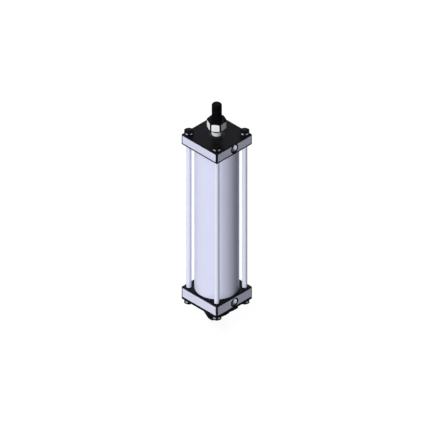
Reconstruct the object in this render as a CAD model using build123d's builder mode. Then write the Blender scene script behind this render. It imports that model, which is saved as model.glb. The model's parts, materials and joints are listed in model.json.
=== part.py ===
from build123d import *

import os
from math import radians, sqrt, tan

# Tie-rod hydraulic cylinder with a rear clevis bracket, drawn retracted, in millimetres.
# The origin is the centre of the clevis bore. +Z runs along the cylinder to the rod end,
# +Y along the clevis bore, and both ports open towards +X.

os.makedirs("parts", exist_ok=True)

# Working sizes
stroke = 203.2
tube_bore = 63.5
rod_diameter = 15.875
stop_gap = 0.4

# Barrel tube and end caps
tube_wall = 2.38
tube_lead_in = 0.8
cap_margin = 12.7
cap_thickness = 19.05
cap_edge = 1.0
spigot_length = 10.7
spigot_clearance = 0.05
spigot_edge = 0.6

# Static seals between the tube and the cap spigots
tube_seal_depth = 2.13
tube_seal_width = 3.2
tube_seal_inset = 3.4
seal_corner = 0.9
groove_play = 0.15

# Ports, one in the +X side of each cap
port_radius = 6.3
port_depth = 11.0
port_edge = 0.5
port_outward_shift = 1.2
passage_radius = 4.0
drop_hole_radius = 3.0
drop_hole_wall = 2.1
chamber_radius = 17.0
chamber_floor = 4.0

# Tie rods and their nuts
tie_rod_diameter = 7.94
tie_rod_inset = 8.2
tie_rod_play = 0.3
tie_rod_end = 1.0
tie_rod_edge = 0.7
tie_nut_flats = 14.3
tie_nut_height = 6.75
nut_play = 0.05
nut_chamfer_angle = 30
nut_washer_face = 0.96

# Rod gland inside the head, from the outside in
wiper_section = 4.1
wiper_depth = 5.0
wiper_lip_rise = 0.8
wiper_lip_width = 1.2
gland_land = 2.0
gland_clearance = 0.4
rod_seal_section = 4.0
rod_seal_width = 6.5
bushing_wall = 4.76
bushing_clearance = 0.04
bushing_edge = 0.4
gland_ring_thickness = 1.2
gland_ring_bite = 1.0
gland_ring_inset = 1.5
gland_ring_width = 2.9
gland_ring_gap = 7.0
seat_play = 0.02
lip_clearance = 0.05

# Piston, its seals and its guide band
piston_length = 38.1
piston_clearance = 0.4
piston_edge = 0.6
piston_end_land = 3.0
piston_inner_land = 3.5
piston_seal_width = 6.5
piston_seal_section = 5.6
wear_band_section = 2.9
wear_band_clearance = 0.05
wear_band_gap = 3.0
lock_nut_flats = 19.05
lock_nut_height = 11.1
lock_nut_room = 1.6
lock_nut_recess = 12.2
piston_core_radius = 6.3
rod_end_recess = 0.3
piston_ring_depth = 1.4
piston_ring_width = 2.4
piston_ring_inset = 8.0

# Rod end: a thread cut on the rod, with a jam nut against its shoulder
rod_nut_standoff = 12.0
rod_nut_flats = 27.0
rod_nut_height = 15.9
free_thread = 26.6
thread_tip = 1.6
thread_crest_drop = 0.14
thread_depth = 0.7
rod_edge = 0.4

# Clevis bracket: a plate under the base cap with two flared ears
plate_thickness = 3.175
clevis_reach = 22.4
clevis_bore_radius = 6.4
ear_tip_radius = 10.7
ear_thickness = 9.53
slot_width = 9.53
foot_inset = 6.3
foot_height = 9.1
ear_edge = 0.6
ear_root_fillet = 1.8

# Radii and reaches that follow from the sizes above. The caps are square, and wider than the bore
# by one margin, which leaves the tie rods room beside the tube.
cap_side = tube_bore + cap_margin
bore_radius = tube_bore / 2
tube_radius = bore_radius + tube_wall
spigot_radius = bore_radius - spigot_clearance
rod_radius = rod_diameter / 2
tie_rod_radius = tie_rod_diameter / 2
piston_radius = bore_radius - piston_clearance
stud_radius = rod_radius - thread_crest_drop
stud_core_radius = stud_radius - thread_depth
lock_core_radius = piston_core_radius - thread_depth
wiper_seat_radius = rod_radius + wiper_section
rod_seal_radius = rod_radius + rod_seal_section
bushing_radius = rod_radius + bushing_wall
gland_groove_radius = bushing_radius + gland_ring_bite
drop_hole_offset = spigot_radius - tube_seal_depth - drop_hole_wall - drop_hole_radius
foot_reach = cap_side / 2 - foot_inset
ear_outer_face = slot_width / 2 + ear_thickness
hexagon_spread = 2 / sqrt(3)

# Heights along the axis, from the clevis up
plate_bottom = clevis_reach
base_bottom = plate_bottom + plate_thickness
base_top = base_bottom + cap_thickness
piston_rear = base_top + spigot_length + stop_gap
piston_front = piston_rear + piston_length
head_spigot_end = piston_front + stroke + stop_gap
head_bottom = head_spigot_end + spigot_length
head_top = head_bottom + cap_thickness
wiper_floor = head_top - wiper_depth
rod_seal_top = wiper_floor - gland_land
rod_seal_floor = rod_seal_top - rod_seal_width
gland_ring_floor = head_spigot_end + gland_ring_inset
bushing_floor = gland_ring_floor + gland_ring_thickness + groove_play
lock_nut_seat = piston_rear + lock_nut_recess
rod_shoulder = head_top + rod_nut_standoff
rod_nut_top = rod_shoulder + rod_nut_height
rod_tip = rod_nut_top + free_thread + thread_tip

# The four tie rods stand at the corners of a square, named as seen from the port side
tie_rod_offset = cap_side / 2 - tie_rod_inset
tie_rod_places = {
    "port_left": (tie_rod_offset, -tie_rod_offset),
    "port_right": (tie_rod_offset, tie_rod_offset),
    "rear_right": (-tie_rod_offset, tie_rod_offset),
    "rear_left": (-tie_rod_offset, -tie_rod_offset),
}

# A tie-rod nut has one corner towards the edge between the -Y and +X sides,
# and the jam nut on the rod has a flat a few degrees past +X.
tie_nut_turn = -45
rod_nut_turn = 36


def ring(inner, outer, low, high, corner, gap=0.0):
    """A ring on the axis whose section has rounded corners, split at -X where it has a gap."""
    with BuildPart() as made:
        with BuildSketch(Plane.XZ) as section:
            with Locations(((inner + outer) / 2, (low + high) / 2)):
                Rectangle(outer - inner, high - low)
            fillet(section.vertices(), corner)
        revolve(axis=Axis.Z)
        if gap:
            with BuildSketch(Plane.XY.offset(low)):
                with Locations((-outer, 0)):
                    Rectangle(2 * (outer - inner) + gap, gap)
            extrude(amount=high - low, mode=Mode.SUBTRACT)
    return made


def cup_seal(inner, outer, heel, lips):
    """A U-shaped seal from its heel to its lips, which open towards the oil."""
    lip = (outer - inner) / 4
    middle = (inner + outer) / 2
    root = heel + (lips - heel) / 2
    with BuildPart() as made:
        with BuildSketch(Plane.XZ):
            with BuildLine():
                Polyline(
                    (inner, heel),
                    (outer, heel),
                    (outer, lips),
                    (outer - lip, lips),
                    (middle, root),
                    (inner + lip, lips),
                    (inner, lips),
                    close=True,
                )
            make_face()
        revolve(axis=Axis.Z)
    return made


def hex_nut(x, y, low, flats, height, bore, turn):
    """A hexagon nut with its corners chamfered at both ends and the given bore radius."""
    corner_radius = flats / 2 * hexagon_spread
    face_radius = flats / 2 * nut_washer_face
    chamfer_drop = (corner_radius - face_radius) * tan(radians(nut_chamfer_angle))
    with BuildPart() as made:
        with BuildSketch(Plane((x, y, low))):
            RegularPolygon(flats / 2, 6, major_radius=False, rotation=turn)
        extrude(amount=height)
        with BuildSketch(Plane((x, y, low), x_dir=(1, 0, 0), z_dir=(0, -1, 0))):
            with BuildLine():
                Polyline(
                    (0, 0),
                    (face_radius, 0),
                    (corner_radius, chamfer_drop),
                    (corner_radius, height - chamfer_drop),
                    (face_radius, height),
                    (0, height),
                    close=True,
                )
            make_face()
        revolve(axis=Axis((x, y, low), (0, 0, 1)), mode=Mode.INTERSECT)
        with BuildSketch(Plane((x, y, low))):
            Circle(bore)
        extrude(amount=height, mode=Mode.SUBTRACT)
    return made


def end_cap(inner_face, inward):
    """A square cap with its spigot, seal groove, port and tie-rod holes, still solid on the axis.

    inward is 1 where the tube lies above the cap's inner face, and -1 where it lies below.
    """
    port_height = inner_face - inward * (cap_thickness / 2 + port_outward_shift)
    groove_height = inner_face + inward * (tube_seal_inset + tube_seal_width / 2)
    with BuildPart() as made:
        with BuildSketch(Plane.XY.offset(inner_face)):
            Rectangle(cap_side, cap_side)
        extrude(amount=-inward * cap_thickness)
        chamfer(made.edges(), cap_edge)
        with BuildSketch(Plane.XY.offset(inner_face)):
            Circle(spigot_radius)
        extrude(amount=inward * spigot_length)
        spigot_rims = made.edges().filter_by(GeomType.CIRCLE).sort_by(Axis.Z, reverse=inward > 0)
        chamfer(spigot_rims[0], spigot_edge)
        with BuildSketch(Plane.XZ):
            with Locations((spigot_radius, groove_height)):
                Rectangle(2 * tube_seal_depth, tube_seal_width + groove_play)
        revolve(axis=Axis.Z, mode=Mode.SUBTRACT)
        with BuildSketch(Plane.XY.offset(inner_face)):
            with GridLocations(2 * tie_rod_offset, 2 * tie_rod_offset, 2, 2):
                Circle(tie_rod_radius + tie_rod_play)
        extrude(amount=-inward * cap_thickness, mode=Mode.SUBTRACT)
        with BuildSketch(Plane.YZ.offset(cap_side / 2)):
            with Locations((0, port_height)):
                Circle(port_radius)
        extrude(amount=-port_depth, mode=Mode.SUBTRACT)
        with BuildSketch(Plane.YZ.offset(drop_hole_offset - drop_hole_radius)):
            with Locations((0, port_height)):
                Circle(passage_radius)
        extrude(amount=cap_side / 2 - drop_hole_offset, mode=Mode.SUBTRACT)
        port_mouth = made.faces().sort_by(Axis.X)[-1].edges().filter_by(GeomType.CIRCLE)
        chamfer(port_mouth, port_edge)
    return made


# Base cap: its passage runs on into a round chamber that opens to the tube
base_port_height = base_top - cap_thickness / 2 - port_outward_shift
with BuildPart() as base_cap:
    add(end_cap(base_top, 1).part)
    with BuildSketch(Plane.XY.offset(base_bottom + chamber_floor)):
        Circle(chamber_radius)
    extrude(amount=piston_rear - base_bottom, mode=Mode.SUBTRACT)
    with BuildSketch(Plane.YZ):
        with Locations((0, base_port_height)):
            Circle(passage_radius)
    extrude(amount=drop_hole_offset, mode=Mode.SUBTRACT)
base_cap.part.label = "base_cap"
export_step(base_cap.part, "parts/base_cap.step")

# Head cap: bored in steps for the rod gland, with a drop hole from the port to the tube
head_port_height = head_bottom + cap_thickness / 2 + port_outward_shift
gland_bores = [
    (rod_radius + gland_clearance, head_spigot_end, head_top),
    (bushing_radius, head_spigot_end, rod_seal_floor),
    (gland_groove_radius, gland_ring_floor, bushing_floor),
    (rod_seal_radius, rod_seal_floor, rod_seal_top),
    (wiper_seat_radius, wiper_floor, head_top),
]
with BuildPart() as head_cap:
    add(end_cap(head_bottom, -1).part)
    for radius, low, high in gland_bores:
        with BuildSketch(Plane.XY.offset(low)):
            Circle(radius)
        extrude(amount=high - low, mode=Mode.SUBTRACT)
    with BuildSketch(Plane.XY.offset(head_spigot_end)):
        with Locations((drop_hole_offset, 0)):
            Circle(drop_hole_radius)
    extrude(amount=head_port_height - head_spigot_end, mode=Mode.SUBTRACT)
head_cap.part.label = "head_cap"
export_step(head_cap.part, "parts/head_cap.step")

# Barrel tube between the caps, over their spigots
with BuildPart() as barrel_tube:
    with BuildSketch(Plane.XY.offset(base_top)):
        Circle(tube_radius)
        Circle(bore_radius, mode=Mode.SUBTRACT)
    extrude(amount=head_bottom - base_top)
    tube_rims = barrel_tube.edges().filter_by(GeomType.CIRCLE)
    chamfer(tube_rims.sort_by(lambda rim: rim.radius)[:2], tube_lead_in)
barrel_tube.part.label = "barrel_tube"
export_step(barrel_tube.part, "parts/barrel_tube.step")

# Clevis bracket: the ear is the hull of its rounded tip and its foot
with BuildPart() as clevis_bracket:
    with BuildSketch(Plane.XY.offset(plate_bottom)):
        Rectangle(cap_side, cap_side)
    extrude(amount=plate_thickness)
    chamfer(clevis_bracket.edges().filter_by(Axis.Z), cap_edge)
    with BuildSketch(Plane.XZ.offset(slot_width / 2)):
        Circle(ear_tip_radius)
        with Locations((0, plate_bottom - foot_height / 2)):
            Rectangle(2 * foot_reach, foot_height)
        make_hull()
    extrude(amount=ear_thickness)
    outer_face = clevis_bracket.faces().filter_by(Plane.XZ).sort_by(Axis.Y)[1]
    ear_rim = outer_face.edges().filter_by_position(Axis.Z, -ear_tip_radius, plate_bottom - ear_edge)
    chamfer(ear_rim, ear_edge)
    ear_roots = (
        clevis_bracket.edges()
        .filter_by(Axis.X)
        .filter_by_position(Axis.Z, plate_bottom - ear_edge, plate_bottom + ear_edge)
        .filter_by_position(Axis.Y, -ear_outer_face - ear_edge, -slot_width / 2 + ear_edge)
    )
    fillet(ear_roots, ear_root_fillet)
    mirror(about=Plane.XZ)
    with BuildSketch(Plane.XZ.offset(ear_outer_face)):
        Circle(clevis_bore_radius)
    extrude(amount=-2 * ear_outer_face, mode=Mode.SUBTRACT)
    with BuildSketch(Plane.XY.offset(plate_bottom)):
        with GridLocations(2 * tie_rod_offset, 2 * tie_rod_offset, 2, 2):
            Circle(tie_rod_radius + tie_rod_play)
    extrude(amount=plate_thickness, mode=Mode.SUBTRACT)
clevis_bracket.part.label = "clevis_bracket"
export_step(clevis_bracket.part, "parts/clevis_bracket.step")

# Tie rods clamp the head, the tube, the base and the bracket plate between eight nuts
tie_rod_reach = tie_nut_height + tie_rod_end
for place, (x, y) in tie_rod_places.items():
    with BuildPart() as tie_rod:
        with BuildSketch(Plane((x, y, plate_bottom - tie_rod_reach))):
            Circle(tie_rod_radius)
        extrude(amount=head_top - plate_bottom + 2 * tie_rod_reach)
        chamfer(tie_rod.edges().filter_by(GeomType.CIRCLE), tie_rod_edge)
    tie_rod.part.label = f"tie_rod_{place}"
    export_step(tie_rod.part, f"parts/tie_rod_{place}.step")

    tie_nut_bore = tie_rod_radius + nut_play
    head_nut = hex_nut(x, y, head_top, tie_nut_flats, tie_nut_height, tie_nut_bore, tie_nut_turn)
    head_nut.part.label = f"head_nut_{place}"
    export_step(head_nut.part, f"parts/head_nut_{place}.step")

    base_nut_low = plate_bottom - tie_nut_height
    base_nut = hex_nut(x, y, base_nut_low, tie_nut_flats, tie_nut_height, tie_nut_bore, tie_nut_turn)
    base_nut.part.label = f"base_nut_{place}"
    export_step(base_nut.part, f"parts/base_nut_{place}.step")

# Static seals in the grooves of the cap spigots
tube_seal_inner = spigot_radius - tube_seal_depth + seat_play
base_seal_low = base_top + tube_seal_inset
base_tube_seal = ring(
    tube_seal_inner, bore_radius - seat_play, base_seal_low, base_seal_low + tube_seal_width, seal_corner
)
base_tube_seal.part.label = "base_tube_seal"
export_step(base_tube_seal.part, "parts/base_tube_seal.step")

head_seal_high = head_bottom - tube_seal_inset
head_tube_seal = ring(
    tube_seal_inner, bore_radius - seat_play, head_seal_high - tube_seal_width, head_seal_high, seal_corner
)
head_tube_seal.part.label = "head_tube_seal"
export_step(head_tube_seal.part, "parts/head_tube_seal.step")

# Rod gland: wiper, cup seal, bushing and the split ring that holds the bushing in
wiper_inner = rod_radius + lip_clearance
wiper_outer = wiper_seat_radius - seat_play
with BuildPart() as rod_wiper:
    with BuildSketch(Plane.XZ):
        with BuildLine():
            Polyline(
                (wiper_inner + wiper_lip_width, wiper_floor),
                (wiper_outer, wiper_floor),
                (wiper_outer, head_top),
                (wiper_inner + wiper_lip_width, head_top),
                (wiper_inner + wiper_lip_width / 3, head_top + wiper_lip_rise),
                (wiper_inner, head_top + wiper_lip_rise),
                (wiper_inner, head_top - wiper_depth / 3),
                close=True,
            )
        make_face()
    revolve(axis=Axis.Z)
rod_wiper.part.label = "rod_wiper"
export_step(rod_wiper.part, "parts/rod_wiper.step")

rod_seal = cup_seal(
    rod_radius + lip_clearance, rod_seal_radius - seat_play, rod_seal_top, rod_seal_floor + groove_play
)
rod_seal.part.label = "rod_seal"
export_step(rod_seal.part, "parts/rod_seal.step")

rod_bushing = ring(
    rod_radius + bushing_clearance, bushing_radius - seat_play, bushing_floor, rod_seal_floor, bushing_edge
)
rod_bushing.part.label = "rod_bushing"
export_step(rod_bushing.part, "parts/rod_bushing.step")

gland_ring = ring(
    bushing_radius - gland_ring_width + gland_ring_bite,
    gland_groove_radius - seat_play,
    gland_ring_floor,
    gland_ring_floor + gland_ring_thickness,
    gland_ring_thickness / 4,
    gland_ring_gap,
)
gland_ring.part.label = "gland_ring"
export_step(gland_ring.part, "parts/gland_ring.step")

# Piston rod: its rear end carries the piston, its front end the thread and the jam nut.
# Under each nut the rod is drawn at its thread root, where the nut's bore meets it.
rod_end = piston_rear + rod_end_recess
piston_ring_low = piston_front - piston_ring_inset
piston_ring_high = piston_ring_low + piston_ring_width + groove_play
with BuildPart() as piston_rod:
    with BuildSketch(Plane.XZ):
        with BuildLine():
            Polyline(
                (0, rod_end),
                (lock_core_radius, rod_end),
                (lock_core_radius, lock_nut_seat),
                (piston_core_radius, lock_nut_seat),
                (piston_core_radius, piston_ring_low),
                (piston_core_radius - piston_ring_depth, piston_ring_low),
                (piston_core_radius - piston_ring_depth, piston_ring_high),
                (piston_core_radius, piston_ring_high),
                (piston_core_radius, piston_front),
                (rod_radius, piston_front),
                (rod_radius, rod_shoulder - rod_edge),
                (rod_radius - rod_edge, rod_shoulder),
                (stud_core_radius, rod_shoulder),
                (stud_core_radius, rod_nut_top),
                (stud_radius, rod_nut_top),
                (stud_radius, rod_tip - thread_tip),
                (stud_radius - thread_tip, rod_tip),
                (0, rod_tip),
                close=True,
            )
        make_face()
    revolve(axis=Axis.Z)
piston_rod.part.label = "piston_rod"
export_step(piston_rod.part, "parts/piston_rod.step")

rod_nut = hex_nut(
    0, 0, rod_shoulder, rod_nut_flats, rod_nut_height, stud_core_radius + nut_play, rod_nut_turn
)
rod_nut.part.label = "rod_nut"
export_step(rod_nut.part, "parts/rod_nut.step")

# Piston: two cup-seal grooves with the guide band between them, held by a sunk lock nut
seal_groove_floor = bore_radius - piston_seal_section
band_groove_floor = bore_radius - wear_band_section
rear_groove_low = piston_rear + piston_end_land
rear_groove_high = rear_groove_low + piston_seal_width
front_groove_high = piston_front - piston_end_land
front_groove_low = front_groove_high - piston_seal_width
band_groove_low = rear_groove_high + piston_inner_land
band_groove_high = front_groove_low - piston_inner_land
piston_grooves = [
    (seal_groove_floor, rear_groove_low, rear_groove_high),
    (band_groove_floor, band_groove_low, band_groove_high),
    (seal_groove_floor, front_groove_low, front_groove_high),
]
with BuildPart() as piston:
    with BuildSketch(Plane.XY.offset(piston_rear)):
        Circle(piston_radius)
    extrude(amount=piston_length)
    chamfer(piston.edges().filter_by(GeomType.CIRCLE), piston_edge)
    for floor, low, high in piston_grooves:
        with BuildSketch(Plane.XY.offset(low)):
            Circle(bore_radius)
            Circle(floor, mode=Mode.SUBTRACT)
        extrude(amount=high - low, mode=Mode.SUBTRACT)
    with BuildSketch(Plane.XY.offset(piston_rear)):
        Circle(piston_core_radius + seat_play)
    extrude(amount=piston_length, mode=Mode.SUBTRACT)
    with BuildSketch(Plane.XY.offset(piston_rear)):
        Circle(lock_nut_flats / 2 * hexagon_spread + lock_nut_room)
    extrude(amount=lock_nut_recess, mode=Mode.SUBTRACT)
piston.part.label = "piston"
export_step(piston.part, "parts/piston.step")

piston_static_seal = ring(
    piston_core_radius - piston_ring_depth + seat_play,
    piston_core_radius,
    piston_ring_low,
    piston_ring_low + piston_ring_width,
    piston_ring_depth / 4,
)
piston_static_seal.part.label = "piston_static_seal"
export_step(piston_static_seal.part, "parts/piston_static_seal.step")

lock_nut_low = lock_nut_seat - lock_nut_height
piston_lock_nut = hex_nut(
    0, 0, lock_nut_low, lock_nut_flats, lock_nut_height, lock_core_radius + nut_play, rod_nut_turn
)
piston_lock_nut.part.label = "piston_lock_nut"
export_step(piston_lock_nut.part, "parts/piston_lock_nut.step")

# The piston's cup seals open outwards, towards the oil on their own side
piston_lip_radius = bore_radius - lip_clearance
piston_seal_rear = cup_seal(
    seal_groove_floor + seat_play, piston_lip_radius, rear_groove_high, rear_groove_low + groove_play
)
piston_seal_rear.part.label = "piston_seal_rear"
export_step(piston_seal_rear.part, "parts/piston_seal_rear.step")

piston_seal_front = cup_seal(
    seal_groove_floor + seat_play, piston_lip_radius, front_groove_low, front_groove_high - groove_play
)
piston_seal_front.part.label = "piston_seal_front"
export_step(piston_seal_front.part, "parts/piston_seal_front.step")

wear_band = ring(
    band_groove_floor + seat_play,
    bore_radius - wear_band_clearance,
    band_groove_low + groove_play,
    band_groove_high - groove_play,
    bushing_edge,
    wear_band_gap,
)
wear_band.part.label = "wear_band"
export_step(wear_band.part, "parts/wear_band.step")
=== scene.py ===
import json
import math

import bmesh
import bpy
from mathutils import Matrix, Vector


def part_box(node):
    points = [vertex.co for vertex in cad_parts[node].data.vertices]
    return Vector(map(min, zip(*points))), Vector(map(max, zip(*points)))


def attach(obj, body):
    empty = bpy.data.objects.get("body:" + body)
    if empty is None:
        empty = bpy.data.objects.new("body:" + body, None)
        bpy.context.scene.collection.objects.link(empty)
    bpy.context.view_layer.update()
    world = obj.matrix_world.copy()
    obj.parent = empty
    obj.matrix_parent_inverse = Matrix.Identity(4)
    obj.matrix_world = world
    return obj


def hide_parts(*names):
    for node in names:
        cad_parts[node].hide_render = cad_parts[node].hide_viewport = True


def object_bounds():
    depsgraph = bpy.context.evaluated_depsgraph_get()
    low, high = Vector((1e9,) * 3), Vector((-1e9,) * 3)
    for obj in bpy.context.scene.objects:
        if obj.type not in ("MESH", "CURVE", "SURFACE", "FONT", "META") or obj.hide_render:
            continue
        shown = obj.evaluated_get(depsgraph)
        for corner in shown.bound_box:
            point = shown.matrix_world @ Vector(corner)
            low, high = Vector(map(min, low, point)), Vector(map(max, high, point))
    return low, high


# Finishes and fine forms of a tie-rod hydraulic cylinder, in metres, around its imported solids.
# +Z is the cylinder's axis, towards the rod end, and both ports open towards +X.

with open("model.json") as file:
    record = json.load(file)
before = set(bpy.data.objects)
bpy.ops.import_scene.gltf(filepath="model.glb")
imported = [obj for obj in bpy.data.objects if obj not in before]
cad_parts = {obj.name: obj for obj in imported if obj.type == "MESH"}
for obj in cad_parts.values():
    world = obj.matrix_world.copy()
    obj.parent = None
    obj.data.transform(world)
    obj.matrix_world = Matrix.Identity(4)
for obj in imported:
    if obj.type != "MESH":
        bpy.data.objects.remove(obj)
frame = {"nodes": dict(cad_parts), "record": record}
cad_low, cad_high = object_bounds()

MM = 0.001
INCH = 25.4 * MM

# The caps' corners, as seen from the port side
CORNERS = ("port_left", "port_right", "rear_right", "rear_left")

# Places and sizes read from the solids
tube_low, tube_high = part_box("barrel_tube")
tie_rod_low, tie_rod_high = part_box("tie_rod_port_left")
rod_low, rod_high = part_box("piston_rod")
rod_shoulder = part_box("rod_nut")[0].z
base_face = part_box("base_cap")[0].z
plate_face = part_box("clevis_bracket")[1].z
head_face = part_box("head_cap")[1].z
mounts = {mount["name"]: mount for mount in frame["record"]["mounts"]}
ports = {name: mounts[name] for name in ("head_port", "base_port")}
cap_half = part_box("head_cap")[1].x
cap_thickness = tube_low.z - base_face
tube_radius = tube_high.x
tie_rod_radius = (tie_rod_high.x - tie_rod_low.x) / 2
rod_radius = rod_high.x
stud_radius = mounts["rod_thread"]["dims"]["r_mm"] * MM

# Threads. The depth of a ridge, and half the widths of its base and its crest, are shares of its pitch, and
# the base bites a little into the wall that carries it.
ROD_PITCH = INCH / 18
TIE_ROD_PITCH = INCH / 24
PORT_PITCH = INCH / 18
THREAD_DEPTH = 0.61
THREAD_BASE = 0.44
THREAD_CREST = 0.07
THREAD_BITE = 0.05 * MM

# Segments round a full turn
TUBE_SEGMENTS = 128
ROD_SEGMENTS = 72
TIE_ROD_SEGMENTS = 48
NUT_SEGMENTS = 96
THREAD_SEGMENTS = 40

# Barrel tube, with the chamfers inside its ends
TUBE_WALL = 2.38 * MM
TUBE_LEAD_IN = 0.8 * MM

# Tie rods: the length of a thread and of the slope that ends it. The rod's end chamfers are half the slope.
TIE_ROD_THREAD = 9.0 * MM
TIE_ROD_EDGE = 0.7 * MM

# Nuts. Each flat has a black border along its corners, a black rim along its top and another along its
# bottom, and its rows of points lie a little further in than the rims. The round face at each end is a
# share of the distance from the axis to a flat, and the bore is countersunk at both ends.
TIE_NUT = {"flats": 14.3 * MM, "border": 2.0 * MM, "rim": 1.6 * MM, "lower_rim": 2.6 * MM}
ROD_NUT = {"flats": 27.0 * MM, "border": 1.5 * MM, "rim": 1.7 * MM, "lower_rim": 1.0 * MM}
LOCK_NUT = ROD_NUT | {"flats": 19.05 * MM}
TIE_NUT_TURN = math.radians(-45)
ROD_NUT_TURN = math.radians(36)
NUT_FLAT_ANGLE = math.radians(60)
NUT_CHAMFER_SLOPE = math.tan(math.radians(30))
NUT_FACE_SHARE = 0.96
NUT_ROW_SHARE = 1.25
COUNTERSINK = 0.7 * MM

# Piston rod, from its rear end to its tip
LOCK_THREAD_RADIUS = 5.6 * MM
SPIGOT_RADIUS = 6.3 * MM
SEAL_GROOVE_DEPTH = 1.4 * MM
SEAL_GROOVE_PLAY = 0.15 * MM
ROD_EDGE = 0.4 * MM
NECK_LENGTH = 1.6 * MM
TIP_CHAMFER = 1.6 * MM

# Edges that turn by more than this, in degrees, look sharp
TURNED_EDGE = 35
THREADED_EDGE = 30
FLAT_SIDED_EDGE = 20

# Rounding of the caps' and the bracket's edges that turn by more than an angle
CAP_ROUNDING = 0.15 * MM
BRACKET_ROUNDING = 0.25 * MM
ROUNDING_SEGMENTS = 2
ROUNDED_EDGE = 30

# Points this close together are one, and faces this near to one plane are one face
MERGE_DISTANCE = 0.001 * MM
ONE_PLANE = math.radians(0.5)


# Shader helpers

# Sockets of a Mix node that mixes colours
MIX_SHARE = 0
MIX_FIRST = 6
MIX_SECOND = 7
MIX_RESULT = 2


class Field:
    """A number that varies over a surface, so that shader maths reads as plain expressions."""

    def __init__(self, finish, socket):
        self.finish = finish
        self.socket = socket

    def math(self, operation, *others):
        """The field, with any other values, put through one Math node."""
        values = dict(enumerate((self, *others)))
        made = self.finish.node("ShaderNodeMath", {"operation": operation}, values)
        return Field(self.finish, made.outputs[0])

    def __add__(self, other):
        return self.math("ADD", other)

    def __radd__(self, other):
        return self.math("ADD", other)

    def __sub__(self, other):
        return self.math("SUBTRACT", other)

    def __rsub__(self, other):
        return (self * -1).math("ADD", other)

    def __mul__(self, other):
        return self.math("MULTIPLY", other)

    def __rmul__(self, other):
        return self.math("MULTIPLY", other)

    def __abs__(self):
        return self.math("ABSOLUTE")

    def root(self):
        return self.math("SQRT")

    def larger(self, other):
        return self.math("MAXIMUM", other)

    def smaller(self, other):
        return self.math("MINIMUM", other)

    def above(self, limit, soft):
        """0 below the limit and 1 above it, over a soft stretch centred on it."""
        made = self.finish.node(
            "ShaderNodeMapRange",
            {"interpolation_type": "SMOOTHSTEP"},
            {"Value": self, "From Min": limit - soft / 2, "From Max": limit + soft / 2},
        )
        return Field(self.finish, made.outputs["Result"])

    def between(self, first, second):
        """A number from first to second as the field goes from 0 to 1."""
        return self * (second - first) + first

    def spread(self, width):
        """The field, from 0 to 1, as a number that swings by half the width to each side of 0."""
        return (self - 0.5) * width


class Finish:
    """One material: its nodes and the shader that they feed."""

    def __init__(self, name, **sockets):
        self.material = bpy.data.materials.new(name)
        self.material.use_nodes = True
        self.tree = self.material.node_tree
        self.shader = self.tree.nodes["Principled BSDF"]
        for socket, value in sockets.items():
            self.shader.inputs[socket.replace("_", " ")].default_value = value

    def node(self, kind, settings=None, sockets=None):
        """A node of any kind: its settings first, then its sockets' values or links."""
        made = self.tree.nodes.new(kind)
        for key, value in (settings or {}).items():
            setattr(made, key, value)
        for key, value in (sockets or {}).items():
            if isinstance(value, Field):
                value = value.socket
            if isinstance(value, bpy.types.NodeSocket):
                self.tree.links.new(value, made.inputs[key])
            else:
                made.inputs[key].default_value = value
        return made

    def coordinates(self):
        """The object coordinates as a vector socket."""
        return self.node("ShaderNodeTexCoord").outputs["Object"]

    def axes(self):
        """The object coordinates as three fields."""
        split = self.node("ShaderNodeSeparateXYZ", None, {0: self.coordinates()})
        return [Field(self, socket) for socket in split.outputs]

    def noise(self, scale, detail, roughness=0.5, stretch=(1.0, 1.0, 1.0)):
        """Noise from 0 to 1 over the surface, scaled per metre and stretched along the axes."""
        mapped = self.node("ShaderNodeMapping", None, {"Vector": self.coordinates(), "Scale": stretch})
        made = self.node(
            "ShaderNodeTexNoise",
            None,
            {"Vector": mapped.outputs[0], "Scale": scale, "Detail": detail, "Roughness": roughness},
        )
        return Field(self, made.outputs["Fac"])

    def mix(self, share, first, second):
        """A colour from first to second as the share goes from 0 to 1."""
        sockets = {MIX_SHARE: share, MIX_FIRST: first, MIX_SECOND: second}
        return self.node("ShaderNodeMix", {"data_type": "RGBA"}, sockets).outputs[MIX_RESULT]

    def feed(self, **fields):
        """Links fields or sockets to the shader's own sockets."""
        for name, value in fields.items():
            socket = value.socket if isinstance(value, Field) else value
            self.tree.links.new(socket, self.shader.inputs[name.replace("_", " ")])

    def bump(self, height, depth, strength):
        """Turns a field from 0 to 1 into relief of the given depth in metres."""
        sockets = {"Strength": strength, "Distance": depth, "Height": height}
        made = self.node("ShaderNodeBump", None, sockets)
        self.tree.links.new(made.outputs[0], self.shader.inputs["Normal"])


def darker(colour, share):
    """The colour with each part of it taken down to a share."""
    return [part * share for part in colour[:3]] + [1]


# Finishes

# How much of the gloss of plain glass the finishes have
BLACK_SPECULAR = 0.006
CAP_SPECULAR = 0.012
METAL_SPECULAR = 0.02
RUBBER_SPECULAR = 0.1
PLAIN_SPECULAR = 0.5

# How metallic the bright finishes are
CAP_METALLIC = 0.1
TUBE_METALLIC = 0.1
TIE_ROD_METALLIC = 0.15
NUT_METALLIC = 0.1
ROD_METALLIC = 0.3

# Roughness of the black coat and of the bright metal
BLACK_ROUGHNESS = 0.5
CAP_ROUGHNESS = 0.4
TUBE_ROUGHNESS = 0.4
TIE_ROD_ROUGHNESS = 0.35
NUT_ROUGHNESS = 0.38
ROD_ROUGHNESS = 0.22
THREAD_ROUGHNESS = 0.52

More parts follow.
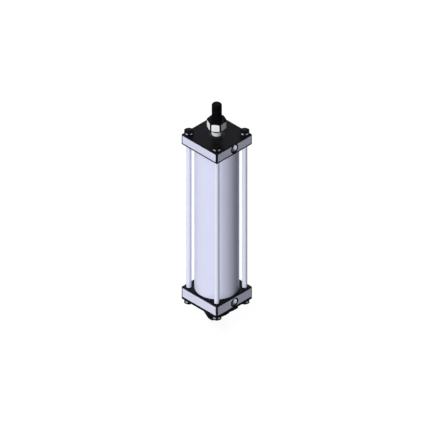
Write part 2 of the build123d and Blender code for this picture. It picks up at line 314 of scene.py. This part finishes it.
# Colours, as linear red, green, blue and alpha
CAP_SIDE_COLOUR = (0.62, 0.63, 0.78, 1)
CAP_SIDE_MARK_COLOUR = (0.54, 0.55, 0.68, 1)
# Black of the caps' edges, borders and port rims, and painted shade on their end faces and deep in their
# ports
CAP_BLACK_AND_SHADE_COLOUR = (0.009, 0.0095, 0.013, 1)
TUBE_COLOUR = (0.65, 0.67, 0.83, 1)
TUBE_STREAK_COLOUR = (0.58, 0.60, 0.745, 1)
TIE_ROD_COLOUR = (0.72, 0.75, 0.88, 1)
TIE_ROD_STREAK_COLOUR = (0.63, 0.66, 0.78, 1)
ROD_COLOUR = (0.82, 0.83, 0.86, 1)
THREAD_COLOUR = (0.004, 0.004, 0.004, 1)
NUT_FLAT_COLOUR = (0.86, 0.87, 0.88, 1)
# Black oxide, and painted shade on the plated nuts' end faces
BLACK_OXIDE_AND_SHADE_COLOUR = (0.006, 0.006, 0.008, 1)
WORN_FLAT_COLOUR = (0.42, 0.43, 0.44, 1)
BRACKET_COLOUR = (0.010, 0.011, 0.014, 1)
RUBBER_COLOUR = (0.012, 0.012, 0.012, 1)
BRONZE_COLOUR = (0.60, 0.38, 0.16, 1)
IRON_COLOUR = (0.22, 0.22, 0.23, 1)
SPRING_COLOUR = (0.012, 0.012, 0.014, 1)
NYLON_COLOUR = (0.42, 0.27, 0.11, 1)

# Black borders of the caps' milled sides, inside the edges' chamfers: along the corners, along both caps'
# upper edges, along each cap's lower edge, and round the ports
CAP_EDGE = 1.0 * MM
CAP_BORDER = 2.6 * MM
CAP_RIM = 2.2 * MM
HEAD_LOWER_RIM = 3.4 * MM
BASE_LOWER_RIM = 1.3 * MM
PORT_RIM = 1.7 * MM
BORDER_SOFT = 0.15 * MM

# Bright part of a port's wall. It starts behind a black lip and fades out at a depth, past which the wall
# is painted shade. It lies at the two sides of the port, a little below its axis, with painted shade above
# and below it, and its half height and soft edge are shares of the radius.
PORT_LIP = 1.4 * MM
PORT_BRIGHT_DEPTH = 6.5 * MM
PORT_BRIGHT_FADE = 4.0 * MM
PORT_BRIGHT_DROP = 1.5 * MM
PORT_BRIGHT_SHARE = 0.55
PORT_SHADE_SHARE = 0.5

# How far the black of the piston rod's end reaches below its shoulder, onto the rod just under the jam nut,
# and the soft edge of it
BLACK_BELOW_NUT = 5.0 * MM
BLACK_BELOW_NUT_SOFT = 0.2 * MM

# A nut's flat is bright where its layer "inward" is above 1, over this soft stretch
INWARD_SOFT = 0.2


def cap_finish():
    """Caps: milled bright sides inside black end faces, edges and port rims; the black of the end faces is
    painted shade.
    """
    made = Finish("milled_cap", Specular_IOR_Level=CAP_SPECULAR)
    x, y, z = made.axes()
    # Only the milled sides stay bright: the black end faces are painted shade for the dark tops
    on_side = abs(x).larger(abs(y)).above(cap_half - CAP_EDGE / 2, CAP_EDGE / 4)
    off_corner = 1 - abs(x).smaller(abs(y)).above(cap_half - CAP_BORDER, BORDER_SOFT)
    on_head = z.above(head_face - cap_thickness + HEAD_LOWER_RIM, BORDER_SOFT)
    on_base = z.above(base_face + BASE_LOWER_RIM, BORDER_SOFT)
    under_head_rim = 1 - z.above(head_face - CAP_RIM, BORDER_SOFT)
    under_base_rim = 1 - z.above(base_face + cap_thickness - CAP_RIM, BORDER_SOFT)
    bright = on_side * off_corner * (on_head * under_head_rim + on_base * under_base_rim)
    on_port_side = x.above(cap_half / 2, CAP_EDGE)
    behind_lip = 1 - x.above(cap_half - PORT_LIP, BORDER_SOFT)
    unshaded_wall = behind_lip * x.above(cap_half - PORT_BRIGHT_DEPTH, PORT_BRIGHT_FADE)
    for mount in ports.values():
        radius = mount["dims"]["r_mm"] * MM
        height = z - mount["pos_m"][2]
        reach = (y * y + height * height).root()
        in_rim = 1 - reach.above(radius + PORT_RIM, BORDER_SOFT)
        in_port = 1 - reach.above(radius + BORDER_SOFT, BORDER_SOFT)
        # Painted shade: the port's wall stays bright only at its sides near the mouth, and is dark deeper
        # in and at its top and bottom
        off_middle = abs(height + PORT_BRIGHT_DROP)
        unshaded_port_sides = 1 - off_middle.above(radius * PORT_BRIGHT_SHARE, radius * PORT_SHADE_SHARE)
        bright = (bright * (1 - on_port_side * in_rim)).larger(unshaded_wall * unshaded_port_sides * in_port)
    tooling = made.noise(scale=60, detail=4, roughness=0.6, stretch=(1, 1, 30)).above(0.5, soft=0.6)
    cloud = made.noise(scale=25, detail=2).above(0.5, soft=0.5)
    side_colour = made.mix(tooling * 0.65 + cloud * 0.35, CAP_SIDE_MARK_COLOUR, CAP_SIDE_COLOUR)
    made.feed(
        Base_Color=made.mix(bright, CAP_BLACK_AND_SHADE_COLOUR, side_colour),
        Roughness=bright.between(BLACK_ROUGHNESS, CAP_ROUGHNESS) + tooling.spread(0.12),
        Metallic=bright * CAP_METALLIC,
    )
    made.bump(tooling, depth=0.01 * MM, strength=0.5)
    return made.material


def drawn_finish(name, colour, streak_colour, metallic, roughness, bright_from=None, bright_to=None):
    """Metal drawn along the axis, with fine lengthwise streaks.

    Where two heights are given, its threaded ends below and above them are black.
    """
    made = Finish(name, Metallic=metallic, Specular_IOR_Level=METAL_SPECULAR)
    streak = made.noise(scale=900, detail=3, roughness=0.6, stretch=(1, 1, 0.004))
    cloud = made.noise(scale=18, detail=2)
    tone = streak * 0.6 + cloud * 0.4
    base_colour = made.mix(tone, streak_colour, colour)
    if bright_from is not None:
        z = made.axes()[2]
        drawn = z.above(bright_from, BORDER_SOFT) * (1 - z.above(bright_to, BORDER_SOFT))
        base_colour = made.mix(drawn, BLACK_OXIDE_AND_SHADE_COLOUR, base_colour)
        made.feed(Metallic=drawn * metallic)
    made.feed(Base_Color=base_colour, Roughness=tone.spread(0.16) + roughness)
    made.bump(streak, depth=0.004 * MM, strength=0.4)
    return made.material


def piston_rod_finish():
    """Piston rod: ground and chromed, and black from a little below its shoulder, under the jam nut, to its
    tip.
    """
    made = Finish("chromed_rod", Specular_IOR_Level=BLACK_SPECULAR)
    z = made.axes()[2]
    black = z.above(rod_shoulder - BLACK_BELOW_NUT, BLACK_BELOW_NUT_SOFT)
    grinding = made.noise(scale=700, detail=2, stretch=(0.05, 0.05, 1))
    made.feed(
        Base_Color=made.mix(black, ROD_COLOUR, THREAD_COLOUR),
        Roughness=black.between(ROD_ROUGHNESS, THREAD_ROUGHNESS) + grinding.spread(0.08),
        Metallic=black.between(ROD_METALLIC, 0),
    )
    made.bump(grinding, depth=0.002 * MM, strength=0.3)
    return made.material


def nut_finish(name, flat_colour):
    """Hexagon nuts: bright middles of the flats, black elsewhere; on the plated nuts the black of the end
    faces is painted shade.
    """
    made = Finish(name, Specular_IOR_Level=BLACK_SPECULAR)
    inward = Field(made, made.node("ShaderNodeAttribute", {"attribute_name": "inward"}).outputs["Fac"])
    cloud = made.noise(scale=400, detail=3)
    flat = inward.above(1, INWARD_SOFT)
    tone = made.mix(cloud, darker(flat_colour, 0.85), flat_colour)
    made.feed(
        Base_Color=made.mix(flat, BLACK_OXIDE_AND_SHADE_COLOUR, tone),
        Roughness=flat.between(BLACK_ROUGHNESS, NUT_ROUGHNESS) + cloud.spread(0.1),
        Metallic=flat * NUT_METALLIC,
    )
    made.bump(cloud, depth=0.006 * MM, strength=0.5)
    return made.material


def plain_finish(name, colour, metallic, roughness, grain, depth, specular=PLAIN_SPECULAR):
    """A finish of one tone with a fine grain, scaled per metre and with a depth in metres."""
    made = Finish(name, Metallic=metallic, Specular_IOR_Level=specular)
    cloud = made.noise(scale=grain, detail=4, roughness=0.6)
    made.feed(
        Base_Color=made.mix(cloud, darker(colour, 0.72), colour),
        Roughness=cloud.spread(0.2) + roughness,
    )
    made.bump(cloud, depth, strength=0.5)
    return made.material


def black_steel_finish(name, colour, metallic, grain, depth):
    """Black steel with next to no gloss."""
    return plain_finish(name, colour, metallic, BLACK_ROUGHNESS, grain, depth, BLACK_SPECULAR)


finishes = {
    "cap_metal": cap_finish(),
    "tube_metal": drawn_finish(
        "drawn_tube", TUBE_COLOUR, TUBE_STREAK_COLOUR, TUBE_METALLIC, TUBE_ROUGHNESS
    ),
    "tie_rod_steel": drawn_finish(
        "drawn_tie_rod",
        TIE_ROD_COLOUR,
        TIE_ROD_STREAK_COLOUR,
        TIE_ROD_METALLIC,
        TIE_ROD_ROUGHNESS,
        bright_from=plate_face,
        bright_to=head_face,
    ),
    "black_nut": nut_finish("black_nut", WORN_FLAT_COLOUR),
    "bracket_steel": black_steel_finish(
        "black_bracket", BRACKET_COLOUR, metallic=0.0, grain=500, depth=0.02 * MM
    ),
    "rod_chrome": piston_rod_finish(),
    "plated_nut": nut_finish("plated_nut", NUT_FLAT_COLOUR),
    "seal_rubber": plain_finish(
        "seal_rubber",
        RUBBER_COLOUR,
        metallic=0.0,
        roughness=0.7,
        grain=900,
        depth=0.01 * MM,
        specular=RUBBER_SPECULAR,
    ),
    "gland_bronze": plain_finish(
        "gland_bronze", BRONZE_COLOUR, metallic=1.0, roughness=0.35, grain=700, depth=0.004 * MM
    ),
    "piston_iron": plain_finish(
        "piston_iron", IRON_COLOUR, metallic=0.9, roughness=0.45, grain=800, depth=0.01 * MM
    ),
    "spring_steel": black_steel_finish(
        "spring_steel", SPRING_COLOUR, metallic=0.2, grain=700, depth=0.004 * MM
    ),
    "band_plastic": plain_finish(
        "band_plastic", NYLON_COLOUR, metallic=0.0, roughness=0.5, grain=600, depth=0.008 * MM
    ),
}
slot_of = {part["node"]: part["material_slot"] for part in frame["record"]["subparts"]}


# Mesh helpers


def piece_from(name, made, body, slot, *nodes, edge):
    """One finished piece made from a bmesh. It rides on its body and replaces the nodes it stands for."""
    mesh = bpy.data.meshes.new(name)
    made.to_mesh(mesh)
    made.free()
    mesh.shade_smooth()
    mesh.set_sharp_from_angle(angle=math.radians(edge))
    piece = bpy.data.objects.new(name, mesh)
    bpy.context.scene.collection.objects.link(piece)
    mesh.materials.append(finishes[slot])
    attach(piece, body)
    if nodes:
        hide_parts(*nodes)
    return piece


def turned(profile, segments, closed=False):
    """A bmesh turned about the Z axis from (radius, height) points. A closed profile makes a ring."""
    made = bmesh.new()
    points = [made.verts.new((radius, 0, height)) for radius, height in profile]
    ends = points[1:] + points[:1] if closed else points[1:]
    edges = [made.edges.new(pair) for pair in zip(points, ends)]
    bmesh.ops.spin(
        made,
        geom=points + edges,
        cent=(0, 0, 0),
        axis=(0, 0, 1),
        angle=math.tau,
        steps=segments,
        use_merge=True,
    )
    bmesh.ops.remove_doubles(made, verts=made.verts, dist=MERGE_DISTANCE)
    bmesh.ops.recalc_face_normals(made, faces=made.faces)
    return made


def add_thread(made, root, crest, pitch, low, high):
    """Adds a helical ridge about the Z axis.

    It rises from the root to the crest, inwards or outwards, and runs out over one pitch at both ends.
    """
    bite = math.copysign(THREAD_BITE, root - crest)
    turns = round((high - low) / pitch)
    corners = (
        (root + bite, -THREAD_BASE),
        (crest, -THREAD_CREST),
        (crest, THREAD_CREST),
        (root + bite, THREAD_BASE),
    )
    before = set(made.verts)
    start = [made.verts.new((radius, 0, low + share * pitch)) for radius, share in corners]
    section = made.faces.new(start)
    bmesh.ops.spin(
        made,
        geom=[section, *section.edges, *start],
        cent=(0, 0, 0),
        axis=(0, 0, 1),
        dvec=(0, 0, pitch / THREAD_SEGMENTS),
        angle=math.tau * turns,
        steps=THREAD_SEGMENTS * turns,
    )
    ridge = [vert for vert in made.verts if vert not in before]
    for vert in ridge:
        radius = math.hypot(vert.co.x, vert.co.y)
        share = min(1, max(0, (vert.co.z - low) / pitch), max(0, (high - vert.co.z) / pitch))
        kept = (root + bite + (radius - root - bite) * share) / radius
        vert.co.x *= kept
        vert.co.y *= kept
        vert.co.z = min(high, max(low, vert.co.z))
    ridge_faces = {face for vert in ridge for face in vert.link_faces}
    bmesh.ops.recalc_face_normals(made, faces=list(ridge_faces))


def hexagon_nut(low, high, bore, flats, border, rim, lower_rim):
    """A bmesh of a hexagon nut on the Z axis, one corner towards +X.

    It is turned as a ring that stands out past the flats, and its outer points are then drawn in to them.
    Its layer "inward" is 0 at the edges of each flat and passes 1 where the black border and rims end.
    """
    apothem = flats / 2
    face_radius = apothem * NUT_FACE_SHARE
    outside = flats
    profile = [
        (bore, low + COUNTERSINK),
        (bore + COUNTERSINK, low),
        (face_radius, low),
        (outside, low),
        (outside, low + lower_rim * NUT_ROW_SHARE),
        (outside, high - rim * NUT_ROW_SHARE),
        (outside, high),
        (face_radius, high),
        (bore + COUNTERSINK, high),
        (bore, high - COUNTERSINK),
    ]
    made = turned(profile, NUT_SEGMENTS, closed=True)
    inward = made.verts.layers.float.new("inward")
    for vert in made.verts:
        if math.hypot(vert.co.x, vert.co.y) < (face_radius + outside) / 2:
            continue
        angle = math.atan2(vert.co.y, vert.co.x)
        lean = angle % NUT_FLAT_ANGLE - NUT_FLAT_ANGLE / 2
        reach = apothem / math.cos(lean)
        drop = (reach - face_radius) * NUT_CHAMFER_SLOPE
        from_corner = apothem * (math.tan(NUT_FLAT_ANGLE / 2) - abs(math.tan(lean)))
        vert[inward] = min(from_corner / border, (high - vert.co.z) / rim, (vert.co.z - low) / lower_rim)
        vert.co.x = reach * math.cos(angle)
        vert.co.y = reach * math.sin(angle)
        vert.co.z += math.copysign(drop, (low + high) / 2 - vert.co.z)
    return made


def place(made, centre, turn=0.0, axis="Z"):
    """Turns a bmesh about an axis through the origin and moves it to its centre."""
    bmesh.ops.rotate(made, cent=(0, 0, 0), matrix=Matrix.Rotation(turn, 3, axis), verts=made.verts)
    bmesh.ops.translate(made, vec=centre, verts=made.verts)


def merged_copy(node):
    """A bmesh of a node's mesh with its loose triangles merged and its flat faces joined."""
    made = bmesh.new()
    made.from_mesh(frame["nodes"][node].data)
    bmesh.ops.remove_doubles(made, verts=made.verts, dist=MERGE_DISTANCE)
    bmesh.ops.dissolve_limit(made, angle_limit=ONE_PLANE, verts=made.verts, edges=made.edges)
    return made


def soften(piece, width):
    """Rounds a piece's sharp edges by a small bevel."""
    bevel = piece.modifiers.new("soft_edges", "BEVEL")
    bevel.width = width
    bevel.segments = ROUNDING_SEGMENTS
    bevel.limit_method = "ANGLE"
    bevel.angle_limit = math.radians(ROUNDED_EDGE)


# Pieces


def make_tube():
    """The barrel tube, chamfered inside at both ends, where the caps' seals enter."""
    inner = tube_radius - TUBE_WALL
    profile = [
        (inner + TUBE_LEAD_IN, tube_low.z),
        (tube_radius, tube_low.z),
        (tube_radius, tube_high.z),
        (inner + TUBE_LEAD_IN, tube_high.z),
        (inner, tube_high.z - TUBE_LEAD_IN),
        (inner, tube_low.z + TUBE_LEAD_IN),
    ]
    made = turned(profile, TUBE_SEGMENTS, closed=True)
    piece_from("barrel_tube_drawn", made, "barrel", "tube_metal", "barrel_tube", edge=TURNED_EDGE)


def make_tie_rod(node):
    """One tie rod, with rolled threads at both ends. Returns the place of its axis."""
    low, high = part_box(node)
    centre = ((low.x + high.x) / 2, (low.y + high.y) / 2, 0)
    root = tie_rod_radius - THREAD_DEPTH * TIE_ROD_PITCH
    crest = tie_rod_radius
    profile = [
        (0, low.z),
        (root - TIE_ROD_EDGE / 2, low.z),
        (root, low.z + TIE_ROD_EDGE / 2),
        (root, low.z + TIE_ROD_THREAD),
        (crest, low.z + TIE_ROD_THREAD + TIE_ROD_EDGE),
        (crest, high.z - TIE_ROD_THREAD - TIE_ROD_EDGE),
        (root, high.z - TIE_ROD_THREAD),
        (root, high.z - TIE_ROD_EDGE / 2),
        (root - TIE_ROD_EDGE / 2, high.z),
        (0, high.z),
    ]
    made = turned(profile, TIE_ROD_SEGMENTS)
    lead = TIE_ROD_EDGE / 4
    add_thread(made, root, crest, TIE_ROD_PITCH, low.z + lead, low.z + TIE_ROD_THREAD)
    add_thread(made, root, crest, TIE_ROD_PITCH, high.z - TIE_ROD_THREAD, high.z - lead)
    place(made, centre)
    piece_from(f"{node}_threaded", made, "barrel", "tie_rod_steel", node, edge=THREADED_EDGE)
    return centre


def make_tie_nut(node, centre):
    """One nut on a tie rod's end."""
    low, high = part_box(node)
    made = hexagon_nut(low.z, high.z, tie_rod_radius, **TIE_NUT)
    place(made, centre, TIE_NUT_TURN)
    piece_from(f"{node}_chamfered", made, "barrel", "black_nut", node, edge=FLAT_SIDED_EDGE)


def make_piston_rod():
    """The piston rod: its spigot and seal groove in the piston, its ground length and its threaded end."""
    piston_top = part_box("piston")[1].z
    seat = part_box("piston_lock_nut")[1].z
    groove_low, groove_high = (corner.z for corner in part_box("piston_static_seal"))
    groove_high += SEAL_GROOVE_PLAY
    root = stud_radius - THREAD_DEPTH * ROD_PITCH
    tip = rod_high.z
    profile = [
        (0, rod_low.z),
        (LOCK_THREAD_RADIUS, rod_low.z),
        (LOCK_THREAD_RADIUS, seat),
        (SPIGOT_RADIUS, seat),
        (SPIGOT_RADIUS, groove_low),
        (SPIGOT_RADIUS - SEAL_GROOVE_DEPTH, groove_low),
        (SPIGOT_RADIUS - SEAL_GROOVE_DEPTH, groove_high),
        (SPIGOT_RADIUS, groove_high),
        (SPIGOT_RADIUS, piston_top),
        (rod_radius, piston_top),
        (rod_radius, rod_shoulder - ROD_EDGE),
        (rod_radius - ROD_EDGE, rod_shoulder),
        (root, rod_shoulder),
        (root, tip - TIP_CHAMFER / 2),
        (root - TIP_CHAMFER / 2, tip),
        (0, tip),
    ]
    made = turned(profile, ROD_SEGMENTS)
    add_thread(made, root, stud_radius, ROD_PITCH, rod_shoulder + NECK_LENGTH, tip - TIP_CHAMFER / 4)
    piece_from("piston_rod_threaded", made, "rod", "rod_chrome", "piston_rod", edge=THREADED_EDGE)


def make_rod_nut(node, bore, sizes):
    """One of the two nuts on the piston rod: the jam nut outside, or the lock nut in the piston."""
    low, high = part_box(node)
    made = hexagon_nut(low.z, high.z, bore, **sizes)
    place(made, (0, 0, 0), ROD_NUT_TURN)
    piece_from(f"{node}_chamfered", made, "rod", "plated_nut", node, edge=FLAT_SIDED_EDGE)


def make_port_thread(name, mount):
    """The thread inside one port: a ridge that stands in from the port's wall."""
    radius = mount["dims"]["r_mm"] * MM
    half_length = mount["dims"]["length_mm"] * MM / 2
    made = bmesh.new()
    crest = radius - THREAD_DEPTH * PORT_PITCH
    add_thread(made, radius, crest, PORT_PITCH, -half_length, half_length)
    place(made, mount["pos_m"], math.radians(90), "Y")
    piece_from(f"{name}_thread", made, "barrel", "cap_metal", edge=THREADED_EDGE)


def make_cap(node):
    """A cap with its fine edges broken."""
    made = merged_copy(node)
    cap = piece_from(f"{node}_finished", made, "barrel", "cap_metal", node, edge=FLAT_SIDED_EDGE)
    soften(cap, CAP_ROUNDING)


def make_bracket(node):
    """The clevis bracket with its edges rounded."""
    made = merged_copy(node)
    bracket = piece_from(f"{node}_finished", made, "barrel", "bracket_steel", node, edge=FLAT_SIDED_EDGE)
    soften(bracket, BRACKET_ROUNDING)


make_tube()
for corner in CORNERS:
    tie_rod_centre = make_tie_rod(f"tie_rod_{corner}")
    make_tie_nut(f"head_nut_{corner}", tie_rod_centre)
    make_tie_nut(f"base_nut_{corner}", tie_rod_centre)
make_piston_rod()
make_rod_nut("rod_nut", stud_radius, ROD_NUT)
make_rod_nut("piston_lock_nut", LOCK_THREAD_RADIUS, LOCK_NUT)
for port_name, port_mount in ports.items():
    make_port_thread(port_name, port_mount)
make_cap("head_cap")
make_cap("base_cap")
make_bracket("clevis_bracket")

for node, thing in frame["nodes"].items():
    thing.data.materials.clear()
    thing.data.materials.append(finishes[slot_of[node]])


# Stage: a pale floor, a pale world, soft lamps and the camera

FLOOR_SIZE = 30.0
FLOOR_WHITE = 0.87
FLOOR_ALBEDO = 0.2
FLOOR_ROUGHNESS = 0.9
WORLD_LEVEL = 0.04

# The direction each lamp stands in, its strength, and the spread of its light in degrees. The key casts no
# shadows, because the photograph shows none on the object, and the floor's shadow comes from the others.
KEY = {"azimuth": 12, "elevation": 20, "strength": 3.1, "spread": 20, "casts_shadow": False}
FLOOR_SHADE = {"azimuth": 350, "elevation": 60, "strength": 0.6, "spread": 30, "casts_shadow": True}
BACK_FILL = {"azimuth": 225, "elevation": 5, "strength": 2.0, "spread": 30, "casts_shadow": True}

# The photograph's view is isometric, from between the port side and the left side. Its scale and its aim
# come from two measures in the photograph: the cap's side, with the view's foreshortening taken out, and
# the middle of the head's face.
VIEW_AZIMUTH = 45
VIEW_ELEVATION = math.degrees(math.atan(1 / math.sqrt(2)))
PHOTO_PIXELS = 435
CAP_SIDE_PIXELS = 50.3
HEAD_FACE_PIXEL = (216.8, 134.0)
CAMERA_DISTANCE = 2.0
CLIP_START = 0.01
CLIP_END = 50.0


def direction(azimuth, elevation):
    """The direction towards a lamp or the camera, with azimuth 0 on the -Y side and 90 on the +X side."""
    turn, rise = math.radians(azimuth), math.radians(elevation)
    return Vector((math.sin(turn) * math.cos(rise), -math.cos(turn) * math.cos(rise), math.sin(rise)))


def seen_directly(tree):
    """1 for what the camera sees, also in reflections and through glass, and 0 for light on the object."""
    path = tree.nodes.new("ShaderNodeLightPath")
    seen = path.outputs["Is Camera Ray"]
    for ray in ("Is Glossy Ray", "Is Transmission Ray"):
        either = tree.nodes.new("ShaderNodeMath")
        either.operation = "MAXIMUM"
        tree.links.new(seen, either.inputs[0])
        tree.links.new(path.outputs[ray], either.inputs[1])
        seen = either.outputs[0]
    return seen


def make_floor():
    """A pale floor just under the clevis ears."""
    floor_mesh = bmesh.new()
    bmesh.ops.create_grid(floor_mesh, x_segments=1, y_segments=1, size=FLOOR_SIZE / 2)
    bmesh.ops.translate(floor_mesh, vec=(0, 0, cad_low.z), verts=floor_mesh.verts)
    mesh = bpy.data.meshes.new("floor")
    floor_mesh.to_mesh(mesh)
    floor_mesh.free()
    floor = bpy.data.objects.new("floor", mesh)
    bpy.context.scene.collection.objects.link(floor)
    material = bpy.data.materials.new("pale_floor")
    material.use_nodes = True
    tree = material.node_tree
    own = tree.nodes["Principled BSDF"]
    own.inputs["Base Color"].default_value = (FLOOR_ALBEDO, FLOOR_ALBEDO, FLOOR_ALBEDO, 1)
    own.inputs["Roughness"].default_value = FLOOR_ROUGHNESS
    own.inputs["Emission Color"].default_value = (1, 1, 1, 1)
    glow = tree.nodes.new("ShaderNodeMath")
    glow.operation = "MULTIPLY"
    tree.links.new(seen_directly(tree), glow.inputs[0])
    glow.inputs[1].default_value = FLOOR_WHITE
    tree.links.new(glow.outputs[0], own.inputs["Emission Strength"])
    mesh.materials.append(material)


def make_world():
    """A pale world, white to the camera and in reflections."""
    world = bpy.data.worlds.new("pale_world")
    bpy.context.scene.world = world
    world.use_nodes = True
    tree = world.node_tree
    background = tree.nodes["Background"]
    background.inputs["Color"].default_value = (1, 1, 1, 1)
    level = tree.nodes.new("ShaderNodeMath")
    level.operation = "MULTIPLY_ADD"
    tree.links.new(seen_directly(tree), level.inputs[0])
    level.inputs[1].default_value = 1.0 - WORLD_LEVEL
    level.inputs[2].default_value = WORLD_LEVEL
    tree.links.new(level.outputs[0], background.inputs["Strength"])


def make_lamp(name, azimuth, elevation, strength, spread, casts_shadow):
    """A soft sun that shines on the object from the direction it stands in."""
    lamp = bpy.data.lights.new(name, "SUN")
    lamp.energy = strength
    lamp.angle = math.radians(spread)
    lamp.use_shadow = casts_shadow
    thing = bpy.data.objects.new(name, lamp)
    bpy.context.scene.collection.objects.link(thing)
    thing.rotation_euler = direction(azimuth, elevation).to_track_quat("Z", "Y").to_euler()


def make_camera():
    """An orthographic camera that frames the object as the photograph does."""
    camera_data = bpy.data.cameras.new("camera")
    camera_data.type = "ORTHO"
    pixel = 2 * cap_half / CAP_SIDE_PIXELS
    camera_data.ortho_scale = PHOTO_PIXELS * pixel
    camera_data.clip_start = CLIP_START
    camera_data.clip_end = CLIP_END
    camera = bpy.data.objects.new("camera", camera_data)
    bpy.context.scene.collection.objects.link(camera)
    back = direction(VIEW_AZIMUTH, VIEW_ELEVATION)
    turn = back.to_track_quat("Z", "Y")
    right = turn @ Vector((1, 0, 0))
    up = turn @ Vector((0, 1, 0))
    across = (HEAD_FACE_PIXEL[0] - PHOTO_PIXELS / 2) * pixel
    raised = (PHOTO_PIXELS / 2 - HEAD_FACE_PIXEL[1]) * pixel
    aim = Vector((0, 0, head_face)) - right * across - up * raised
    camera.location = aim + back * CAMERA_DISTANCE
    camera.rotation_mode = "QUATERNION"
    camera.rotation_quaternion = turn
    bpy.context.scene.camera = camera


make_floor()
make_world()
make_lamp("key", **KEY)
make_lamp("floor_shade", **FLOOR_SHADE)
make_lamp("back_fill", **BACK_FILL)
make_camera()
bpy.context.scene.view_settings.view_transform = "Standard"

bpy.context.view_layer.update()
